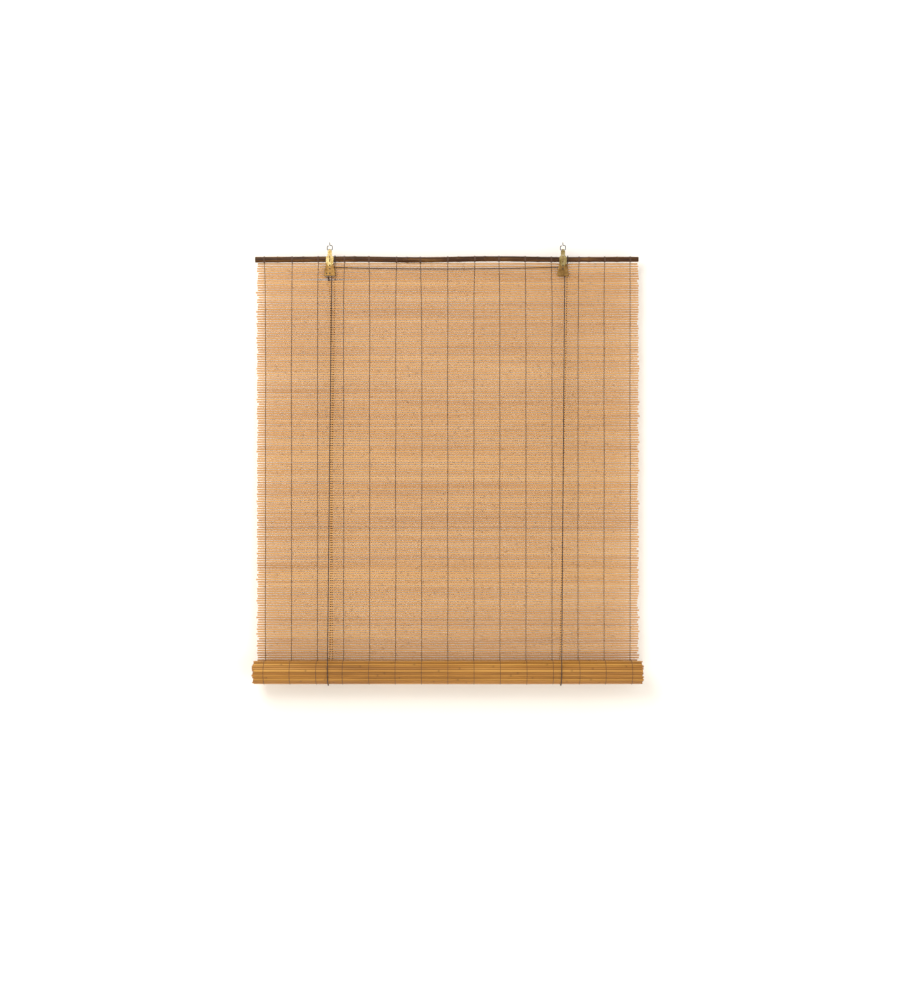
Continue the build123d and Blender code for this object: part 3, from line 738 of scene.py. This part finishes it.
wound = bmesh.new()
tone_mark = wound.verts.layers.float.new("slat_tone")
seed_mark = wound.verts.layers.float.new("slat_seed")
for number, turn in enumerate(roll_turns):
    single = bmesh.new()
    single.from_mesh(one_slat)
    if number >= finely_cut:
        spare = [edge for edge in single.edges
                 if abs(edge.verts[0].co.x - edge.verts[1].co.x) < 1e-6
                 and abs(edge.verts[0].co.x) < mat_width / 2 - 40 * mm]
        bmesh.ops.dissolve_edges(single, edges=spare, use_verts=True)
    angle = 2 * math.pi * turn
    base = spiral(turn)
    left_miss = slat_end(number + first_rolled, 0, roll_trim)
    right_miss = slat_end(number + first_rolled, 1, roll_trim)
    copies = {}
    for vertex in single.verts:
        share = vertex.co.x / mat_width + 0.5
        x = mat_mid - roll_width / 2 - left_miss
        x += (roll_width + left_miss + right_miss) * share
        ripple = 0.25 * mm * noise.noise(Vector((x * 6.0, number * 3.3, 9.0)))
        lean = 0.12 * chance(number, 31) + 0.06 * noise.noise(Vector((x * 3.0, number * 1.7, 0)))
        out = vertex.co.y * 0.92
        up = vertex.co.z * (1.17 + 0.07 * chance(number, 32))
        out, up = (out * math.cos(lean) - up * math.sin(lean),
                   up * math.cos(lean) + out * math.sin(lean))
        radius = base + roll_dent(turn, x) + out - roll_seat
        tangent = up + ripple
        y = roll_centre_y + radius * math.cos(angle) + tangent * math.sin(angle)
        z = roll_centre_z - radius * math.sin(angle) + tangent * math.cos(angle)
        made = wound.verts.new((x, y, z))
        made[tone_mark] = slat_tone(number + first_rolled)
        made[seed_mark] = 0.5 + 0.5 * chance(number, 34)
        copies[vertex] = made
    for face in single.faces:
        wound.faces.new([copies[vertex] for vertex in face.verts])
    single.free()
roll_mesh = bpy.data.meshes.new("rolled_slats")
wound.to_mesh(roll_mesh)
wound.free()
roll = bpy.data.objects.new("rolled_slats", roll_mesh)
bpy.context.collection.objects.link(roll)
bpy.ops.object.select_all(action="DESELECT")
roll.select_set(True)
bpy.context.view_layer.objects.active = roll
bpy.ops.object.shade_smooth_by_angle(angle=math.radians(35))
# The roll's bamboo is a darker copy of the hanging strips' bamboo, with a wider spread of tone.
# The spread is partly the strips' own varying tone and partly painted shade: its near-black
# strips stand for the shade between the wound strips.
rolled_bamboo = bamboo("rolled_bamboo", (0.070, 0.022, 0.003), (0.36, 0.150, 0.018),
                       (0.74, 0.40, 0.085), (0.08, 0.030, 0.006))
give(roll, rolled_bamboo)
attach(roll, "roll")
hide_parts("rolled_mat")

roll_warp_lines = []
for line in range(warp_count):
    x = warp_place(line, mat_top - slat_rows * slat_pitch)
    for side in (-1, 1):
        strand = []
        for number, turn in enumerate(roll_turns[:threaded_slats]):
            face = side if number % 2 else -side
            for step, share in ((-0.34, 0.6), (0.0, 1.0), (0.34, 0.6)):
                at = turn + step * slat_pitch / (2 * math.pi * roll_r)
                reach = spiral(at) + roll_dent(at, x) - roll_seat
                reach += face * share * (slat_thick * 0.46 + warp_r)
                angle = 2 * math.pi * at
                strand.append((x + 0.25 * mm * face * step,
                               roll_centre_y + reach * math.cos(angle),
                               roll_centre_z - reach * math.sin(angle)))
        roll_warp_lines.append((strand, 0))
roll_warp = curve_piece("roll_warp", roll_warp_lines, warp_r, 4)
give(roll_warp, warp_cotton)
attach(roll_warp, "roll")
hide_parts("roll_threads")

stick_wood, shader, node, link = node_material("stick_wood")
where = node("ShaderNodeTexCoord")
grain_place = node("ShaderNodeMapping")
grain_place.inputs["Scale"].default_value = (12.0, 500.0, 500.0)
grain = node("ShaderNodeTexNoise", Scale=1.0, Detail=5.0)
grain_tone = ramp(node, [(0.3, (0.42, 0.22, 0.08)), (0.7, (0.66, 0.42, 0.20))])
grain_bump = node("ShaderNodeBump", Strength=0.3, Distance=0.0004)
link(where, "Object", grain_place, "Vector")
link(grain_place, "Vector", grain, "Vector")
link(grain, "Fac", grain_tone, "Fac")
link(grain_tone, "Color", shader, "Base Color")
link(grain, "Fac", grain_bump, "Height")
link(grain_bump, "Normal", shader, "Normal")
shader.inputs["Roughness"].default_value = 0.6
give(frame["nodes"]["bottom_rod"], stick_wood)


# ------------------------------------------------------------------ lift cords
# A two-ply cord, one ply dark brown and one tan. At each side it is tied round the cane,
# goes down behind the mat, under the roll and up the front to its pulley.
ply_r = 0.8 * mm
ply_offset = 0.7 * mm
ply_pitch = 7.5 * mm
cord_steps = 8
dark_ply = twine("dark_ply", (0.022, 0.008, 0.003), (0.062, 0.024, 0.008), 1800.0)
tan_ply = twine("tan_ply", (0.085, 0.038, 0.012), (0.19, 0.098, 0.036), 1800.0)


def resample(points, spacing):
    """The same line with points at an even spacing."""
    places = [Vector(point) for point in points]
    out = [places[0].copy()]
    left = spacing
    for a, b in zip(places, places[1:]):
        run = (b - a).length
        at = left
        while at <= run:
            out.append(a.lerp(b, at / run))
            at += spacing
        left = at - run
    if (out[-1] - places[-1]).length > spacing * 0.3:
        out.append(places[-1].copy())
    return out


def plies(line):
    """Two helical plies round a line, as lists of points."""
    places = resample(line, ply_pitch / cord_steps)
    strands = ([], [])
    heading = (places[1] - places[0]).normalized()
    side = heading.orthogonal().normalized()
    for index, place in enumerate(places):
        ahead = places[min(index + 1, len(places) - 1)]
        behind = places[max(index - 1, 0)]
        new_heading = (ahead - behind).normalized()
        side = (side - new_heading * side.dot(new_heading)).normalized()
        across = new_heading.cross(side)
        angle = 2 * math.pi * index / cord_steps
        for ply, strand in enumerate(strands):
            turn_angle = angle + math.pi * ply
            strand.append(place + side * (ply_offset * math.cos(turn_angle))
                          + across * (ply_offset * math.sin(turn_angle)))
    return [(strands[0], 0), (strands[1], 1)]


def cord_piece(name, line, body, *nodes):
    """A two-ply cord along a line."""
    made = curve_piece(name, plies(line), ply_r, 6)
    give(made, dark_ply, tan_ply)
    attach(made, body)
    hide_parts(*nodes)
    return made


def arc(centre, radius, start, end, steps, x):
    """Points on an arc in an upright plane across the blind."""
    points = []
    for step in range(steps + 1):
        angle = start + (end - start) * step / steps
        points.append((x, centre[0] + radius * math.cos(angle),
                       centre[1] + radius * math.sin(angle)))
    return points


cord_r = 1.5 * mm
for side in ("left", "right"):
    low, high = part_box("lift_cord_bight_" + side)
    bight_x = (low[0] + high[0]) / 2
    bight_r = (high[1] - low[1]) / 2 - cord_r
    bight = arc((roll_centre_y, roll_centre_z), bight_r, 0.0, -math.pi, 60, bight_x)
    cord_piece("cord_bight_" + side, bight, "lifting_cords", "lift_cord_bight_" + side)
    for run in ("front", "rear"):
        node_name = "lift_cord_%s_%s" % (run, side)
        low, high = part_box(node_name)
        top = (high[0] - cord_r, high[1] - cord_r, high[2])
        bottom = (bight_x, low[1] + cord_r, low[2])
        made = cord_piece("cord_%s_%s" % (run, side), [top, bottom], "blind", node_name)
        winds_up(made)
    low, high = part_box("cord_wrap_" + side)
    wrap_x = (low[0] + high[0]) / 2
    wrap_r = (high[2] - low[2]) / 2 - cord_r
    sway, lift = cane_bend(wrap_x)
    ring = arc((rod_y + sway, rod_z + lift), wrap_r, 0.0, 2 * math.pi * 0.97, 60, wrap_x)
    cord_piece("cord_turn_" + side, ring, "blind", "cord_wrap_" + side)


# ------------------------------------------------------------------ cords at the head
# The left lift cord goes over the lock case's front groove. The right one goes over its own
# wheel, along the head, and over the lock case's rear groove.
def wheel_turn(wheel_x, wheel_z, y, start, end, steps=24):
    """Points over the top of a wheel, at a cord's own distance from the axle."""
    points = []
    for step in range(steps + 1):
        angle = start + (end - start) * step / steps
        points.append((wheel_x + path_r * math.cos(angle), y, wheel_z + path_r * math.sin(angle)))
    return points


path_r = 4.8 * mm
head_low, head_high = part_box("lift_cord_head_left")
cross_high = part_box("cross_cord")[1]
wheel_low, wheel_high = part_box("sheave_left")
left_wheel_x = (wheel_low[0] + wheel_high[0]) / 2
wheel_z = (wheel_low[2] + wheel_high[2]) / 2
wheel_low, wheel_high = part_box("sheave_right")
right_wheel_x = (wheel_low[0] + wheel_high[0]) / 2
front_y = (head_low[1] + head_high[1]) / 2
back_y = cross_high[1] - cord_r
head_end = head_low[2]
over_left = [(left_wheel_x + path_r, front_y, head_end)]
over_left += wheel_turn(left_wheel_x, wheel_z, front_y, 0.0, math.pi)
over_left.append((left_wheel_x - path_r, front_y, head_end))
cord_piece("cord_over_wheel", over_left, "blind", "lift_cord_head_left")

along_head = [(right_wheel_x + path_r, front_y, head_end)]
along_head += wheel_turn(right_wheel_x, wheel_z, front_y, 0.0, math.pi / 2)
span = right_wheel_x - left_wheel_x
head_steps = 24
head_dip = 4.6 * mm
for step in range(1, head_steps):
    share = step / head_steps
    dip = head_dip * 4 * share * (1 - share)
    along_head.append((right_wheel_x - span * share, front_y + (back_y - front_y) * share,
                       wheel_z + path_r - dip))
along_head += wheel_turn(left_wheel_x, wheel_z, back_y, math.pi / 2, math.pi)
along_head.append((left_wheel_x - path_r, back_y, head_end))
cord_piece("cord_along_head", along_head, "blind", "cross_cord")

wire_r = 0.5 * mm
wire_corner = 1.2 * mm
for side in ("left", "right"):
    low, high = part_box("rod_lashing_" + side)
    lash_x = (low[0] + high[0]) / 2
    half = (high[2] - low[2]) / 2 - wire_r
    lash_z = (low[2] + high[2]) / 2
    loops = []
    front = low[1] + wire_r
    for offset_x in (-0.55, 0.55):
        wire_x = lash_x + offset_x * mm
        loop = arc((high[1] - wire_r - half, lash_z), half, -math.pi / 2, math.pi / 2, 20, wire_x)
        loop += arc((front + wire_corner, lash_z + half - wire_corner), wire_corner,
                    math.pi / 2, math.pi, 5, wire_x)
        loop += arc((front + wire_corner, lash_z - half + wire_corner), wire_corner,
                    math.pi, 1.5 * math.pi, 5, wire_x)
        loops.append((loop, 0))
    lashing = curve_piece("lashing_" + side, loops, wire_r, 8, cyclic=True)
    # The lashing wire takes the cases' brass, which is painted darker as painted shade.
    give(lashing, case_brass_painted_shade)
    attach(lashing, "blind")
    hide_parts("rod_lashing_" + side)


# ------------------------------------------------------------------ pull cord
# The two lift cords are the ends of one cord, so the pull cord is a long loop. It leaves the
# lock case, goes through the mat and hangs behind it, and its end is put away in a tied coil.
coil_low, coil_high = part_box("pull_coil")
coil_x = (coil_low[0] + coil_high[0]) / 2
coil_z = (coil_low[2] + coil_high[2]) / 2
gate_z = mat_top - gate_row * slat_pitch + (slat_pitch - slat_height) / 2 - gate_gap / 2
pull_y = 18.8 * mm
left_strand_x = -304.4 * mm
right_strand_x = -300.6 * mm
strand_foot_z = -560.0 * mm
coil_turn_points = 16
coil_first_y = coil_low[1] + 1.8 * mm
coil_rows = 5
coil_spacing = 3.08 * mm


def strand_route(groove_y, gate_at, strand_x):
    """The points of one strand from the lock case down to just above the coil."""
    start_x = left_wheel_x - path_r
    return [
        (start_x, groove_y, head_end),
        (start_x, groove_y, head_end - 2.5 * mm),
        ((start_x + 2 * gate_at) / 3, groove_y + 1.2 * mm, head_end - 7.0 * mm),
        (gate_at, mat_y - 3.0 * mm, gate_z + 0.6 * mm),
        (gate_at + 0.8 * mm, mat_y + 3.6 * mm, gate_z - 0.7 * mm),
        (gate_at + 1.6 * mm, pull_y - 0.8 * mm, gate_z - 9.0 * mm),
        (strand_x - 0.4 * mm, pull_y + 0.1 * mm, gate_z - 40.0 * mm),
        (strand_x, pull_y, strand_foot_z),
    ]


down = strand_route(front_y, left_wheel_x - path_r, left_strand_x)
up = strand_route(back_y, left_wheel_x - path_r + 4.2 * mm, right_strand_x)
coil_points = []
coil_layers = (20.0 * mm, 16.95 * mm, 13.9 * mm)
for layer, layer_r in enumerate(coil_layers):
    count = coil_rows * coil_turn_points
    for step in range(count):
        share = step / coil_turn_points
        depth = share if layer % 2 == 0 else coil_rows - share
        inward = min(1.0, step / coil_turn_points)
        before = coil_layers[layer - 1] if layer else layer_r
        radius = before + (layer_r - before) * inward
        angle = math.radians(130) + 2 * math.pi * share
        coil_points.append((coil_x + radius * math.cos(angle),
                            coil_first_y + coil_spacing * (depth * (coil_rows - 1) / coil_rows),
                            coil_z + radius * math.sin(angle)))
pull_route = down + [(left_strand_x, pull_y, coil_z + 60 * mm),
                     (-306.5 * mm, pull_y - 0.5 * mm, coil_z + 34 * mm)]
pull_route += coil_points
pull_route += [(-299.0 * mm, pull_y + 9.5 * mm, coil_z + 30 * mm),
               (right_strand_x, pull_y + 1.0 * mm, coil_z + 60 * mm)] + up[::-1]
guide = bpy.data.curves.new("pull_guide", "CURVE")
guide.dimensions = "3D"
guide.resolution_u = 6
path = guide.splines.new("NURBS")
path.points.add(len(pull_route) - 1)
for point, place in zip(path.points, pull_route):
    point.co = (*place, 1.0)
path.order_u = 3
path.use_endpoint_u = True
guide_object = bpy.data.objects.new("pull_guide", guide)
bpy.context.collection.objects.link(guide_object)
bpy.context.view_layer.update()
flat = bpy.data.meshes.new_from_object(guide_object)
pull_line = [tuple(vertex.co) for vertex in flat.vertices]
bpy.data.objects.remove(guide_object)
pull_cord = cord_piece("pull_cord", pull_line, "blind",
                       "pull_strand_left", "pull_strand_right", "pull_coil")

tie_low, tie_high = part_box("coil_tie")
tie_lines = []
tie_r = 0.5 * mm
corner = 2.2 * mm
low_y, high_y = tie_low[1] + tie_r, tie_high[1] - tie_r
low_z, high_z = tie_low[2] + tie_r, tie_high[2] - tie_r
for offset_x in (-2.0, -1.0, 0.0, 1.0, 2.0):
    tie_x = coil_x + offset_x * mm
    loop = arc((high_y - corner, high_z - corner), corner, 0, math.pi / 2, 5, tie_x)
    loop += arc((low_y + corner, high_z - corner), corner, math.pi / 2, math.pi, 5, tie_x)
    loop += arc((low_y + corner, low_z + corner), corner, math.pi, 1.5 * math.pi, 5, tie_x)
    loop += arc((high_y - corner, low_z + corner), corner, 1.5 * math.pi, 2 * math.pi, 5, tie_x)
    tie_lines.append((loop, 0))
coil_band = curve_piece("coil_band", tie_lines, tie_r, 6, cyclic=True)
give(coil_band, dark_ply)
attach(coil_band, "blind")
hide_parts("coil_tie")
